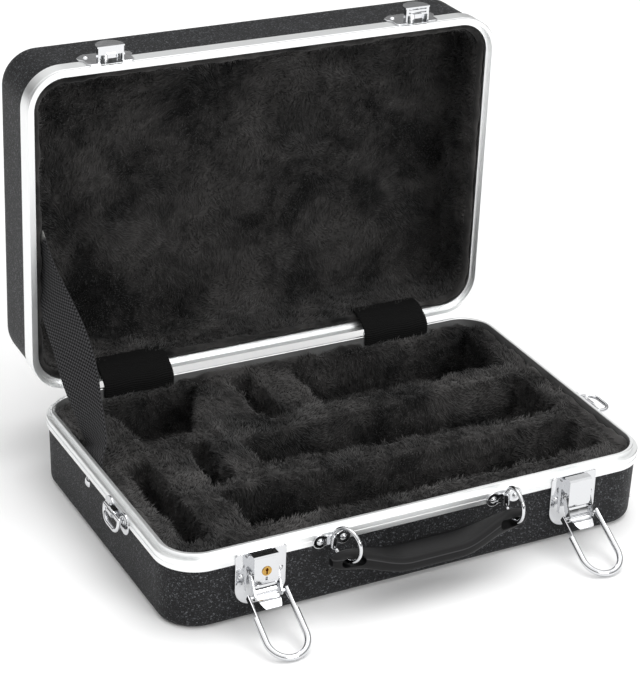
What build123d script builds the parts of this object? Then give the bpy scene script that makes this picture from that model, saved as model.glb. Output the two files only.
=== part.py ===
from build123d import *
import math
import os

# Clarinet case, shown open. X runs along the case, Y to the hinge side, Z up. The origin is the middle
# of the underside. The lid's pieces are drawn closed and then turned open about the hinge pins.

# Driving dimensions, millimetres and degrees
LENGTH = 380.0
WIDTH = 250.0
CORNER = 29.5
PARTING_Z = 54.8
PARTING_GAP = 0.15
LID_DEPTH = 74.8
LID_OPEN = 89.5
WALL = 3.2
SHELL_INSET = 1.4
DRAFT = 1.25
BASE_EDGE = 6.0
LID_EDGE = 20.0
HINGE_Y = 129.0

# Aluminium frame, whose insets are measured inwards from its outer face
FLANGE_LOW_Z = 46.6
FLANGE_T = 1.4
WEB_T = 1.6
GROOVE = 0.3
TONGUE_OUT = 3.6
TONGUE_IN = 6.25
TONGUE_H = 3.5
RIM_IN = 3.2
INNER_FLANGE_T = 1.2
LID_FLANGE_H = 14.7

# Padded insert
FLOOR_Z = 9.0
BLOCK_Z = 47.0
PLUSH = 3.0
INSERT_INSET = 6.8
LID_PLUSH = 4.0
LID_PAD_T = 5.0

# Front hardware, centred a little left of the middle
LATCH_X = (-125.8, 121.2)
PLATE_T = 1.2
LATCH_W = 37.5
LATCH_LOW_Z = 14.0
HARDWARE_TOP_Z = 54.4
HOUSING_W = 18.4
HOUSING_OUT = 10.0
HOUSING_LOW_Z = 33.3
HOUSING_T = 1.0
LEVER_PIN = (-130.4, 40.0)
LEVER_PIN_R = 1.5
BAIL_PIN = (-137.0, 26.0)
BAIL_PIN_R = 1.2
RUNNING = 0.06
TONGUE_W = 18.0
TONGUE_T = 1.2
LEVER_ARM_T = 1.0
WIRE_R = 2.3
BAIL_LENGTH = 48.3
BAIL_HALF = 14.7
BAIL_FLAT = 2.3
LATCH_RIVET = (14.5, 37.0)
LOCK_Z = 43.0
LOCK_R = 3.5

CATCH_OUT = 12.8
CATCH_RIVET = (14.2, 17.5)

# Handle
BRACKET_LOW_Z = 43.6
SLEEVE_HALF = 4.2
BRACKET_RIVET = 8.8
POST_X = (-73.0, 63.0)
POST_Y = -128.5
RING_Z = 51.0
RING_R = 12.0
RING_WIRE = 1.4
RING_TURN = (22.0, -2.0)
GRIP_X = -4.25
GRIP_AXIS_Y = -140.4
GRIP_HALF = 76.5
SLOT_IN, SLOT_OUT = 52.8, 70.2
SLOT_NEAR, SLOT_FAR = 7.2, 14.2

# Side rings, hinges and strap
SIDE_Y = -34.5
SIDE_RIVET = 10.5
SIDE_BAR_OUT = 4.4
SIDE_BAR_Z = 50.0
SIDE_RING_HALF = 12.5
SIDE_RING_REACH = 11.0
SIDE_RING_CORNER = 8.0
SIDE_WIRE = 1.5
SIDE_RING_DROP = {-1: 85.0, 1: 3.0}
HINGE_X = (-110.0, 110.0)
HINGE_LEN = 44.0
KNUCKLE_R = 2.6
HINGE_PIN_R = 1.2
LEAF_T = 1.2
COVER_W = 56.0
STRAP_T = 1.5
RIVET_R = 1.6
STRAP_RIVET = (25.0, 40.3)
STRAP_POCKET_Y = (-8.0, 52.0)
STRAP_POCKET_Z = 28.0

FRONT = -WIDTH / 2
BACK = WIDTH / 2
LEFT = -LENGTH / 2


# ---------------------------------------------------------------- helpers
def block(x0, x1, y0, y1, z0, z1):
    """A block between two corners."""
    size = Box(x1 - x0, y1 - y0, z1 - z0)
    return Pos((x0 + x1) / 2, (y0 + y1) / 2, (z0 + z1) / 2) * size


def rod(start, end, radius):
    """A round bar between two points."""
    line = Vector(*end) - Vector(*start)
    return extrude(Plane(origin=start, z_dir=line) * Circle(radius), line.length)


def outline(inset, z):
    """The case's rounded plan, set in from the frame's outer face."""
    plan = RectangleRounded(LENGTH - 2 * inset, WIDTH - 2 * inset, CORNER - inset)
    return Plane.XY.offset(z) * plan


def plan_prism(inset, z0, z1):
    """A straight prism on the case's plan."""
    return extrude(outline(inset, z0), z1 - z0)


def polygon(points):
    """A face on the points, always with its normal along its plane's."""
    turn = sum(a[0] * b[1] - b[0] * a[1] for a, b in zip(points, points[1:] + points[:1]))
    return Polygon(*(points if turn > 0 else points[::-1]), align=None)


def facing(points, origin, x_dir, z_dir, depth):
    """A polygon on a plane, thickened along that plane's normal."""
    plane = Plane(origin=origin, x_dir=x_dir, z_dir=z_dir)
    return extrude(plane * polygon(points), depth)


def dome(centre, direction, radius, height):
    """A low domed rivet head on a face, with its top along the direction."""
    sphere_r = (radius ** 2 + height ** 2) / (2 * height)
    ball = Pos(0, 0, height - sphere_r) * Sphere(sphere_r)
    cap = ball & (Pos(0, 0, height) * Box(4 * radius, 4 * radius, 2 * height))
    return Plane(origin=centre, z_dir=direction).location * cap


def turned_open(part):
    """A lid piece, moved from closed to open about the hinge pins."""
    return part.rotate(Axis((0, HINGE_Y, PARTING_Z), (1, 0, 0)), -LID_OPEN)


# ---------------------------------------------------------------- shells and frames
def drafted(z_rim, z_end, edge, extra):
    """A drafted tub or lid form, rounded along its closed end."""
    top, end = SHELL_INSET + extra, SHELL_INSET + extra + DRAFT
    body = loft([outline(top, z_rim).face(), outline(end, z_end).face()], ruled=True)
    rim = body.faces().sort_by(Axis.Z)[0 if z_end < z_rim else -1].edges()
    return fillet(rim, edge)


def make_bottom_shell():
    rim_z = PARTING_Z - WEB_T
    outer = drafted(rim_z, 0, BASE_EDGE, 0)
    inner = drafted(rim_z, WALL, BASE_EDGE - 2, WALL)
    return outer - inner


def make_lid_shell():
    rim_z = PARTING_Z + 3.9 + WEB_T
    top = PARTING_Z + LID_DEPTH
    outer = drafted(rim_z, top, LID_EDGE, 0)
    inner = drafted(rim_z, top - WALL, LID_EDGE - WALL, WALL)
    return outer - inner


def bent_frame(points):
    """An extruded profile bent round the case's plan, from a quarter mirrored twice."""
    half_x, half_y = LENGTH / 2 - CORNER, WIDTH / 2 - CORNER

    def section(x):
        plane = Plane(origin=(x, FRONT, 0), x_dir=(0, 1, 0), z_dir=(1, 0, 0))
        return plane * polygon(points)

    corner = revolve(section(half_x), Axis((half_x, -half_y, 0), (0, 0, 1)), 90)
    side_plane = Plane(origin=(LENGTH / 2, -half_y, 0), x_dir=(-1, 0, 0), z_dir=(0, 1, 0))
    side = extrude(side_plane * polygon(points), 2 * half_y)
    front = extrude(section(-half_x), 2 * half_x)
    corners = corner + mirror(corner, Plane.YZ)
    corners = corners + mirror(corners, Plane.XZ)
    return front + mirror(front, Plane.XZ) + side + mirror(side, Plane.YZ) + corners


def make_bottom_valance():
    top, low = PARTING_Z, FLANGE_LOW_Z
    crown, bar = top + TONGUE_H, low + 3.6
    return bent_frame([
        (0, low), (0, bar), (GROOVE, bar + 0.3), (GROOVE, bar + 0.6), (0, bar + 0.9),
        (0, top - 0.5), (0.5, top), (TONGUE_OUT, top), (TONGUE_OUT, crown - 0.4),
        (TONGUE_OUT + 0.4, crown), (TONGUE_IN - 0.4, crown), (TONGUE_IN, crown - 0.4),
        (TONGUE_IN, low - 2.6), (TONGUE_IN - INNER_FLANGE_T, low - 2.6),
        (TONGUE_IN - INNER_FLANGE_T, top - WEB_T), (FLANGE_T, top - WEB_T), (FLANGE_T, low)])


def make_lid_valance():
    rim, deep = PARTING_Z + PARTING_GAP, PARTING_Z + 3.9
    top = PARTING_Z + LID_FLANGE_H
    return bent_frame([
        (0, top), (0, rim + 3.4), (GROOVE, rim + 3.1), (GROOVE, rim + 2.8), (0, rim + 2.5),
        (0, rim + 0.5), (0.5, rim), (RIM_IN, rim), (RIM_IN, deep), (TONGUE_IN, deep),
        (TONGUE_IN, top + 0.8), (TONGUE_IN - INNER_FLANGE_T, top + 0.8),
        (TONGUE_IN - INNER_FLANGE_T, deep + WEB_T), (FLANGE_T, deep + WEB_T), (FLANGE_T, top)])


# ---------------------------------------------------------------- padded insert
def rear_ridge(x):
    """Far edge of the rear divider."""
    return 37 + 8 * (x + 77) / 251


def insert_plans():
    """Plans of the foam blocks: rails round the walls and dividers between the wells."""
    edge_x, edge_y = LENGTH / 2 - INSERT_INSET, WIDTH / 2 - INSERT_INSET
    return {
        "rail_front": [(-edge_x, -edge_y), (edge_x, -edge_y), (edge_x, -96), (-edge_x, -96)],
        "rail_back": [(-153.3, 115), (174, 115), (174, edge_y), (-153.9, edge_y)],
        "rail_left": [(-edge_x, -96), (-170, -96), (-170, 26), (-edge_x, 26)],
        "rail_right": [(174, -96), (edge_x, -96), (edge_x, edge_y), (174, edge_y)],
        "block_left_rear": [(-edge_x, 26), (-140, 26), (-140, 43), (-154, edge_y), (-edge_x, edge_y)],
        "divider_left": [(-140, -96), (-120, -96), (-120, 43), (-140, 43)],
        "divider_bell_front": [(-120, 37), (-97, 37), (-94.3, 43), (-120, 43)],
        "divider_bell": [(-97, 37), (-77, 37), (-45, rear_ridge(-45)), (-45, 115), (-60, 115)],
        "divider_slot": [(-91, -21.3), (-77, -22.2), (-77, 37), (-91, 37)],
        "divider_front": [(-91, -36.7), (174, -43), (174, -38), (-91, -21.5)],
        "divider_slot_front": [(-120, -36), (-91, -36.7), (-91, -32), (-120, -32)],
        "divider_rear": [(-77, 23), (174, 36.5), (174, rear_ridge(174)), (-77, rear_ridge(-77))],
        "divider_mid": [(-18, rear_ridge(-18)), (3, rear_ridge(3)), (3, 115), (-18, 115)],
    }


def make_insert():
    """Floor board, foam blocks and the plush lining drawn over them."""
    board = plan_prism(INSERT_INSET, WALL, FLOOR_Z)
    nodes = {"insert_floor": fillet(board.faces().sort_by(Axis.Z)[0].edges(), 4.0)}
    room = outline(INSERT_INSET, 0)
    space = extrude(room, BLOCK_Z)
    cover, cores = Sketch(), Sketch()
    for name, points in insert_plans().items():
        plan = polygon(points)
        nodes[name] = extrude(Pos(0, 0, FLOOR_Z) * plan, BLOCK_Z - FLOOR_Z) & space
        cover += offset(plan, PLUSH)
        cores += offset(plan, 0.2, kind=Kind.INTERSECTION)
    low, high = FLOOR_Z + 0.05, BLOCK_Z + 0.1
    floor = extrude(Pos(0, 0, low) * (room - cores), PLUSH)
    walls = extrude(Pos(0, 0, low) * ((cover & room) - cores), high - low)
    top = extrude(Pos(0, 0, high) * (cover & room), PLUSH)
    pocket = block(LEFT + TONGUE_IN, LEFT + TONGUE_IN + 3.6, *STRAP_POCKET_Y, STRAP_POCKET_Z, BLOCK_Z + 9)
    for name in ("rail_left", "block_left_rear"):
        nodes[name] = nodes[name] - pocket
    nodes["well_lining"] = floor + walls + top - pocket
    return nodes


def make_lid_padding():
    """Foam sheet under the lid's roof and the plush lining drawn over its walls."""
    roof = PARTING_Z + LID_DEPTH - WALL
    pad = plan_prism(24, roof - LID_PAD_T, roof)
    low, high = PARTING_Z + 4.6, roof - LID_PAD_T
    outer = plan_prism(TONGUE_IN + 0.4, low, high)
    inner = plan_prism(TONGUE_IN + 0.4 + LID_PLUSH, low, high - LID_PLUSH)
    outer = fillet(outer.faces().sort_by(Axis.Z)[-1].edges(), 14)
    inner = fillet(inner.faces().sort_by(Axis.Z)[-1].edges(), 11)
    return {"lid_pad": pad, "lid_lining": outer - inner}


# ---------------------------------------------------------------- latches
def pressed_plate(plane, plan, behind):
    """A plate with a softened front edge and a rim turned in until it meets what is behind it."""
    flat = extrude(plane * plan, PLATE_T)
    front = flat.faces().sort_by(Axis(plane.origin, plane.z_dir))[-1]
    flat = fillet(front.edges(), 0.5)
    rim = extrude(plane * plan, -4) - extrude(plane * offset(plan, -PLATE_T), -4)
    return flat + (rim - behind)


def front_plane(y):
    """A plane facing the front, at the given Y."""
    return Plane(origin=(0, y, 0), x_dir=(1, 0, 0), z_dir=(0, -1, 0))


def latch_plate(cx, behind):
    """Latch base plate: rounded outline, raised centre panel and turned-in rim."""
    height = HARDWARE_TOP_Z - LATCH_LOW_Z
    mid = (HARDWARE_TOP_Z + LATCH_LOW_Z) / 2
    plan = Rectangle(LATCH_W, height)
    plan = fillet(plan.vertices().group_by(Axis.Y)[0], 13)
    plan = Pos(cx, mid) * fillet(plan.vertices().group_by(Axis.Y)[-1], 2.5)
    panel = Pos(cx, mid + 4) * RectangleRounded(23.0, height - 12, 2.0)
    raised = extrude(front_plane(FRONT - PLATE_T) * panel, 1.6)
    return pressed_plate(front_plane(FRONT), plan, behind) + raised


def latch_housing(cx, keyed):
    """Box over the latch: bevelled top, open bottom and back, holes for the lever pin."""
    back, out = FRONT - PLATE_T - 1.6, FRONT - HOUSING_OUT
    top, low, half = HARDWARE_TOP_Z, HOUSING_LOW_Z, HOUSING_W / 2
    profile = [(back, low), (out, low), (out, top - 1.2), (out + 1.2, top), (back, top)]
    inner = [(back, low), (out + HOUSING_T, low), (out + HOUSING_T, top - 1.8),
             (out + 1.8, top - HOUSING_T), (back, top - HOUSING_T)]
    x_start = (cx - half, 0, 0)
    body = facing(profile, x_start, (0, 1, 0), (1, 0, 0), HOUSING_W)
    x_in = (cx - half + HOUSING_T, 0, 0)
    body = body - facing(inner, x_in, (0, 1, 0), (1, 0, 0), HOUSING_W - 2 * HOUSING_T)
    y, z = LEVER_PIN
    body = body - rod((cx - half - 1, y, z), (cx + half + 1, y, z), LEVER_PIN_R)
    if keyed:
        body = body - rod((cx, out - 1, LOCK_Z), (cx, out + 2, LOCK_Z), LOCK_R + RUNNING)
        body = body - block(cx - 0.8, cx + 0.8, out - 1, out + 2, LOCK_Z - 7.2, LOCK_Z - 4.6)
    return body


def lever_pin(cx, side):
    """Stub rivet through one housing wall, with a low head outside the lever's arm."""
    y, z = LEVER_PIN
    reach = HOUSING_W / 2 + LEVER_ARM_T + 0.3
    inner = HOUSING_W / 2 - HOUSING_T - 1.2
    pin = rod((cx + side * inner, y, z), (cx + side * reach, y, z), LEVER_PIN_R)
    return pin + dome((cx + side * reach, y, z), (side, 0, 0), 2.3, 1.0)


def lever_tongue(cx):
    """Thumb tab: sheet rolled out from the housing's lower edge, round at its free end."""
    out, low = FRONT - HOUSING_OUT, HOUSING_LOW_Z
    root, tip = (out + 1.4, low - 1.4), (out - 12.0, low - 11.8)
    roll = TangentArc(root, (out - 6.6, low - 9.4), tangent=(-0.12, -1))
    flare = Line(roll @ 1, tip)
    back = offset((roll + flare), -TONGUE_T, side=Side.LEFT)
    plane = Plane(origin=(cx - TONGUE_W / 2, 0, 0), x_dir=(0, 1, 0), z_dir=(1, 0, 0))
    sheet = extrude(plane * make_face(back), TONGUE_W)
    span = low - tip[1] + 3
    view = Pos(cx, low + 1 - span / 2) * Rectangle(TONGUE_W, span)
    view = fillet(view.vertices().group_by(Axis.Y)[0], 8.6)
    return sheet & extrude(front_plane(out + 8) * view, 30)


def latch_lever(cx):
    """Finger lever: the tab below the housing, carried by two arms outside its walls."""
    y, z = LEVER_PIN
    out, low = FRONT - HOUSING_OUT, HOUSING_LOW_Z
    lever = lever_tongue(cx)
    arm_in = HOUSING_W / 2 + 0.15
    by, bz = BAIL_PIN
    for side in (-1, 1):
        x0 = cx + side * arm_in
        eye = rod((x0, y, z), (x0 + side * LEVER_ARM_T, y, z), 2.5)
        foot = rod((x0, by, bz), (x0 + side * LEVER_ARM_T, by, bz), 2.6)
        web = [(y + 2.1, z - 1.0), (y - 2.1, z + 1.0), (by - 2.2, bz + 1.4), (by + 2.2, bz - 1.4)]
        x_low = min(x0, x0 + side * LEVER_ARM_T)
        arm = facing(web, (x_low, 0, 0), (0, 1, 0), (1, 0, 0), LEVER_ARM_T)
        bridge_x0, bridge_x1 = sorted((cx + side * (TONGUE_W / 2 - 1.0), x0 + side * LEVER_ARM_T))
        bridge = block(bridge_x0, bridge_x1, out - 0.4, out + 2.6, low - 4.4, low - 2.0)
        lever = lever + arm + eye + foot + bridge
    bore = LEVER_PIN_R + RUNNING
    lever = lever - rod((cx - 20, y, z), (cx + 20, y, z), bore)
    return lever - rod((cx - 20, by, bz), (cx + 20, by, bz), BAIL_PIN_R + RUNNING)


def bail_angle():
    """Angle from straight down at which the hanging bail's tip rests on the ground."""
    return math.degrees(math.acos((BAIL_PIN[1] - WIRE_R) / BAIL_LENGTH))


def latch_bail(cx):
    """Draw bail: a round U whose upper legs are ground flat outside and turn in through the lever."""
    bend, flat_len = BAIL_HALF, 15.0
    leg = BAIL_HALF
    loop = Line((-leg, 1.4), (-leg, bend - BAIL_LENGTH))
    loop += CenterArc((0, bend - BAIL_LENGTH), bend, 180, 180)
    loop += Line((leg, bend - BAIL_LENGTH), (leg, 1.4))
    wire = sweep(Plane(origin=(-leg, 1.4, 0), z_dir=(0, -1, 0)) * Circle(WIRE_R), path=loop)
    flat_x = leg - WIRE_R + BAIL_FLAT
    for side in (-1, 1):
        x0, x1 = sorted((side * flat_x, side * (leg + 5)))
        wire -= block(x0, x1, -flat_len, 5, -5, 5)
        wire += rod((side * (flat_x - 0.3), 0, 0), (side * (HOUSING_W / 2 + 0.05), 0, 0), BAIL_PIN_R)
    hang = Plane(origin=(cx, BAIL_PIN[0], BAIL_PIN[1]), x_dir=(1, 0, 0), z_dir=(0, -1, 0))
    placed = hang.location * wire
    return placed.rotate(Axis((cx, *BAIL_PIN), (-1, 0, 0)), bail_angle())


def lock_cylinder():
    """Brass key plug with an upright keyway."""
    cx, out = LATCH_X[0], FRONT - HOUSING_OUT
    plug = rod((cx, out + 6, LOCK_Z), (cx, out - 0.4, LOCK_Z), LOCK_R)
    plug = plug - block(cx - 0.55, cx + 0.55, out - 1, out + 3, LOCK_Z - 2.4, LOCK_Z + 2.4)
    return plug - rod((cx, out - 1, LOCK_Z + 0.9), (cx, out + 3, LOCK_Z + 0.9), 1.1)


def plate_rivet(x, y_face, z, radius=2.0, height=1.2):
    """A domed rivet on a front plate, with its shank down to the shell."""
    return dome((x, y_face, z), (0, -1, 0), radius, height)


# ---------------------------------------------------------------- lid catches
def lid_catch(cx, slotted, behind):
    """Eared plate with a D-shaped box, open below, that the bail hooks over."""
    low, high = PARTING_Z + 3.0, PARTING_Z + 24.4
    front, back = PARTING_Z + 4.4, PARTING_Z + 15.8
    half, out, sheet = 9.7, CATCH_OUT, 1.2
    plane = front_plane(FRONT)
    right = [(18.0, low), (18.0, high - 12.4), (21.0, high - 8.9), (21.0, high - 5.4), (14.5, high)]
    ears = [(cx + u, z) for u, z in right] + [(cx - u, z) for u, z in reversed(right)]
    plan = fillet(polygon(ears).vertices(), 3.0)
    plan -= Pos(cx, low) * Rectangle(2 * half - 2.4, 14.0)
    catch = pressed_plate(plane, plan, behind)

    above = Pos(cx, back) * Rectangle(4 * half, 2 * (back - front))
    inside = Pos(cx, back + sheet) * Rectangle(4 * half, 2 * (back - front))
    walls = (Pos(cx, back - half) * Circle(half) + Pos(cx, front + 2) * Rectangle(2 * half, 4.0)) & above
    room = (Pos(cx, back - half) * Circle(half - sheet)
            + Pos(cx, front + 2) * Rectangle(2 * (half - sheet), 4.0)) & inside
    lip = (Pos(cx, back - half + 0.3) * Circle(half + 0.8)) & above
    catch += extrude(front_plane(FRONT - PLATE_T + 0.2) * walls, out - PLATE_T + 0.2 - 1.0)
    catch -= extrude(plane * room, out - sheet)
    catch += extrude(front_plane(FRONT - out + 1.0) * lip, 1.0)
    catch -= block(cx - half + sheet, cx + half - sheet, FRONT - 6.4, FRONT + 1, low - 1, front + 2)
    catch += block(cx - 3.3, cx + 3.3, FRONT - 7.4, FRONT - 4.0, front - 0.9, front + 0.1)
    if slotted:
        for slot_out in (8.4, 11.0):
            catch -= block(cx - 7.4, cx + 7.4, FRONT - slot_out - 0.5, FRONT - slot_out + 0.5,
                           low - 1, front + 2)
    return catch


# ---------------------------------------------------------------- handle
def lobed_plan(centre_x, centre_y, spread, lobe_r, waist):
    """Plan of a two-rivet plate: a round lobe at each rivet and a narrower waist between them."""
    plan = Pos(centre_x, centre_y) * Rectangle(2 * spread, waist)
    for side in (-1, 1):
        plan += Pos(centre_x + side * spread, centre_y) * Circle(lobe_r)
    inner = plan.vertices().filter_by(lambda v: abs(v.X - centre_x) < spread)
    return fillet(inner, 1.5).face()


def handle_bracket(px, behind):
    """Riveted plate with a raised upright sleeve that the ring's ends turn in."""
    low, high = BRACKET_LOW_Z, HARDWARE_TOP_Z
    mid = (low + high) / 2
    plan = lobed_plan(px, mid, BRACKET_RIVET, (high - low) / 2, 7.6)
    plate = pressed_plate(front_plane(FRONT), plan, behind)
    foot = block(px - 2.6, px + 2.6, POST_Y, FRONT - PLATE_T, mid - SLEEVE_HALF, mid + SLEEVE_HALF)
    sleeve = rod((px, POST_Y, mid - SLEEVE_HALF), (px, POST_Y, mid + SLEEVE_HALF), 2.6) + foot
    bore = rod((px, POST_Y, low - 3), (px, POST_Y, high + 3), RING_WIRE + RUNNING)
    return plate + sleeve - bore


def handle_ring(px, turn):
    """Open wire ring standing upright on its bracket, with both ends turned into the sleeve."""
    mid = (BRACKET_LOW_Z + HARDWARE_TOP_Z) / 2 - RING_Z
    clear = SLEEVE_HALF + RING_WIRE + 0.4
    top = math.degrees(math.asin((mid + clear) / RING_R))
    foot = math.degrees(math.asin((mid - clear) / RING_R))
    arc = CenterArc((0, 0), RING_R, 180 - foot, 360 - top + foot)
    ring = sweep(Plane(origin=arc @ 0, z_dir=arc % 0) * Circle(RING_WIRE), path=arc)
    for end, sign in ((arc @ 0, -1), (arc @ 1, 1)):
        turn_in = (-RING_R, end.Y, 0)
        ring += rod(tuple(end), turn_in, RING_WIRE) + Pos(*end) * Sphere(RING_WIRE)
        ring += rod(turn_in, (-RING_R, mid + sign * 0.4, 0), RING_WIRE)
        ring += Pos(*turn_in) * Sphere(RING_WIRE)
    stand = Plane(origin=(px, POST_Y - RING_R, RING_Z), x_dir=(0, -1, 0), z_dir=(-1, 0, 0))
    return (stand.location * ring).rotate(Axis((px, POST_Y, 0), (0, 0, 1)), turn)


def grip_section(distance):
    """Width, height and centre Z of the grip at a distance from its middle."""
    run = min(max((distance - 19) / (69 - 19), 0), 1)
    blend = run * run * (3 - 2 * run)
    over = max((distance - 60) / (GRIP_HALF - 60), 0)
    end = math.sqrt(1 - 0.93 * over ** 2)
    width = (24.0 - 13.8 * blend) * (0.35 + 0.65 * end)
    height = (11.4 + 2.4 * blend) * (0.2 + 0.8 * end)
    return width, height, 30.6 + 9.7 * blend + 0.5 * over


def handle_grip():
    """Moulded grip: broad and low in the middle, narrow and tall at the slotted ends."""
    stops = (0.0, 14.0, 24.0, 34.0, 44.0, 54.0, 63.0, 70.0, 74.5, GRIP_HALF)
    faces = []
    for dx in [-d for d in reversed(stops[1:])] + list(stops):
        width, height, z = grip_section(abs(dx))
        plane = Plane(origin=(GRIP_X + dx, GRIP_AXIS_Y, z), x_dir=(0, 1, 0), z_dir=(1, 0, 0))
        faces.append((plane * RectangleRounded(width, height, min(width, height) * 0.4)).face())
    grip = loft(faces)
    for side in (-1, 1):
        mid = GRIP_X + side * (SLOT_IN + SLOT_OUT) / 2
        centre_z = RING_Z - (SLOT_NEAR + SLOT_FAR) / 2
        tall = SLOT_FAR - SLOT_NEAR
        plan = Pos(mid, centre_z) * SlotOverall(SLOT_OUT - SLOT_IN, tall)
        grip = grip - extrude(front_plane(GRIP_AXIS_Y) * plan, 20, both=True)
    return grip


# ---------------------------------------------------------------- side rings
def side_bracket(side, behind):
    """Two-lobed plate with a looped strap over the ring's straight bar."""
    x_face = side * LENGTH / 2
    low, high = 38.6, HARDWARE_TOP_Z
    plane = Plane(origin=(x_face, 0, 0), x_dir=(0, 1, 0), z_dir=(side, 0, 0))
    if side < 0:
        plane = Plane(origin=(x_face, 0, 0), x_dir=(0, -1, 0), z_dir=(-1, 0, 0))
    along = SIDE_Y * (1 if side > 0 else -1)
    plan = lobed_plan(along, (low + high) / 2, SIDE_RIVET + 2.0, (high - low) / 2, 11.4)
    plate = pressed_plate(plane, plan, behind)
    x_bar = x_face + side * SIDE_BAR_OUT
    loop = rod((x_bar, SIDE_Y - 4, SIDE_BAR_Z), (x_bar, SIDE_Y + 4, SIDE_BAR_Z), 2.7)
    x0, x1 = sorted((x_face + side * PLATE_T, x_bar))
    loop += block(x0, x1, SIDE_Y - 4, SIDE_Y + 4, SIDE_BAR_Z - 2.7, SIDE_BAR_Z + 2.7)
    bore = rod((x_bar, SIDE_Y - 6, SIDE_BAR_Z), (x_bar, SIDE_Y + 6, SIDE_BAR_Z), SIDE_WIRE + RUNNING)
    return plate + loop - bore


def side_ring(side):
    """D-shaped wire ring on a straight bar. The left one hangs and the right one stands out."""
    half, reach = SIDE_RING_HALF, SIDE_RING_REACH
    bow = FilletPolyline((0, -half), (reach, -half), (reach, half), (0, half), radius=SIDE_RING_CORNER)
    ring = sweep(Plane(origin=bow @ 0, z_dir=bow % 0) * Circle(SIDE_WIRE), path=bow)
    ring += rod((0, -half, 0), (0, half, 0), SIDE_WIRE)
    for end in (-1, 1):
        ring += Pos(0, end * half, 0) * Sphere(SIDE_WIRE)
    x_bar = side * (LENGTH / 2 + SIDE_BAR_OUT)
    lay = Plane(origin=(x_bar, SIDE_Y, SIDE_BAR_Z), x_dir=(side, 0, 0), z_dir=(0, 0, side))
    axis = Axis((x_bar, SIDE_Y, SIDE_BAR_Z), (0, 1, 0))
    return (lay.location * ring).rotate(axis, side * SIDE_RING_DROP[side])


# ---------------------------------------------------------------- hinges
def hinge_leaf(hx, upper):
    """Leaf of a butt hinge. The lower leaf has the two outer knuckles and the upper leaf the middle one."""
    way = 1 if upper else -1
    face_y = BACK
    near, far = PARTING_Z + way * 1.5, PARTING_Z + way * 12.5
    z0, z1 = sorted((near, far))
    leaf = block(hx - HINGE_LEN / 2, hx + HINGE_LEN / 2, face_y, face_y + LEAF_T, z0, z1)
    third = HINGE_LEN / 3
    spans = [(-third / 2 + 0.2, third / 2 - 0.2)] if upper else \
        [(-HINGE_LEN / 2, -third / 2), (third / 2, HINGE_LEN / 2)]
    web_z = sorted((PARTING_Z + way * 1.5, PARTING_Z + way * 2.6))
    for x0, x1 in spans:
        leaf += rod((hx + x0, HINGE_Y, PARTING_Z), (hx + x1, HINGE_Y, PARTING_Z), KNUCKLE_R)
        leaf += block(hx + x0, hx + x1, face_y, HINGE_Y, web_z[0], web_z[1])
    bore = rod((hx - 40, HINGE_Y, PARTING_Z), (hx + 40, HINGE_Y, PARTING_Z), HINGE_PIN_R + RUNNING)
    return leaf - bore


def hinge_pin(hx):
    reach = HINGE_LEN / 2 + 0.6
    pin = rod((hx - reach, HINGE_Y, PARTING_Z), (hx + reach, HINGE_Y, PARTING_Z), HINGE_PIN_R)
    for side in (-1, 1):
        pin += dome((hx + side * reach, HINGE_Y, PARTING_Z), (side, 0, 0), 1.9, 0.8)
    return pin


def hinge_cover(hx):
    """Ribbed webbing that bridges the gap inside a hinge, from the bottom's lining to the lid's."""
    line = [(118.2, 51.0), (118.2, 59.2), (121.5, 63.4), (127.5, 67.2), (132.6, 70.1), (143.0, 70.5)]
    far = [(143.0, 72.0), (132.2, 71.6), (126.7, 68.6), (120.4, 64.5), (116.7, 59.7), (116.7, 51.0)]
    return facing(line + far, (hx - COVER_W / 2, 0, 0), (0, 1, 0), (1, 0, 0), COVER_W)


# ---------------------------------------------------------------- stay strap
def stay_strap():
    """Flat webbing from the lid's left wall to the bottom's, bowed inwards and twisted on the way."""
    stations = [  # front edge (x, y, z), rear edge (x, y, z)
        ((-178.3, 133.0, 188.0), (-178.3, 160.0, 161.2)), ((-177.2, 110.0, 168.0), (-178.2, 137.0, 141.2)),
        ((-174.0, 88.0, 146.0), (-177.8, 114.0, 118.3)), ((-170.0, 66.0, 124.0), (-177.0, 92.5, 96.8)),
        ((-173.0, 44.0, 101.5), (-174.5, 71.0, 74.8)), ((-178.5, 24.0, 79.5), (-174.8, 51.5, 55.4)),
        ((-182.3, 12.0, 62.0), (-182.3, 47.6, 51.2)), ((-182.3, 7.0, 44.0), (-182.3, 43.0, 32.0))]
    faces = []
    for front, rear in stations:
        a, b = Vector(*front), Vector(*rear)
        across = (b - a).normalized()
        normal = across.cross(Vector(0, -0.70, -0.716)).normalized() * (STRAP_T / 2)
        faces.append(Face(Wire.make_polygon([a - normal, b - normal, b + normal, a + normal])))
    return loft(faces, ruled=True) - strap_bore()


def strap_bore():
    y, z = STRAP_RIVET
    return rod((LEFT - 2, y, z), (LEFT + 14, y, z), RIVET_R + 0.05)


def strap_rivet():
    """Rivet through the case's wall, with a dome outside and a flat head on the webbing."""
    y, z = STRAP_RIVET
    outside, inside = LEFT + SHELL_INSET + 0.18, -182.3 + STRAP_T / 2 + 0.05
    shank = rod((outside, y, z), (inside + 0.8, y, z), RIVET_R)
    head = rod((inside, y, z), (inside + 0.8, y, z), 3.4)
    return shank + head + dome((outside, y, z), (-1, 0, 0), 4.0, 1.8)


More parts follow.
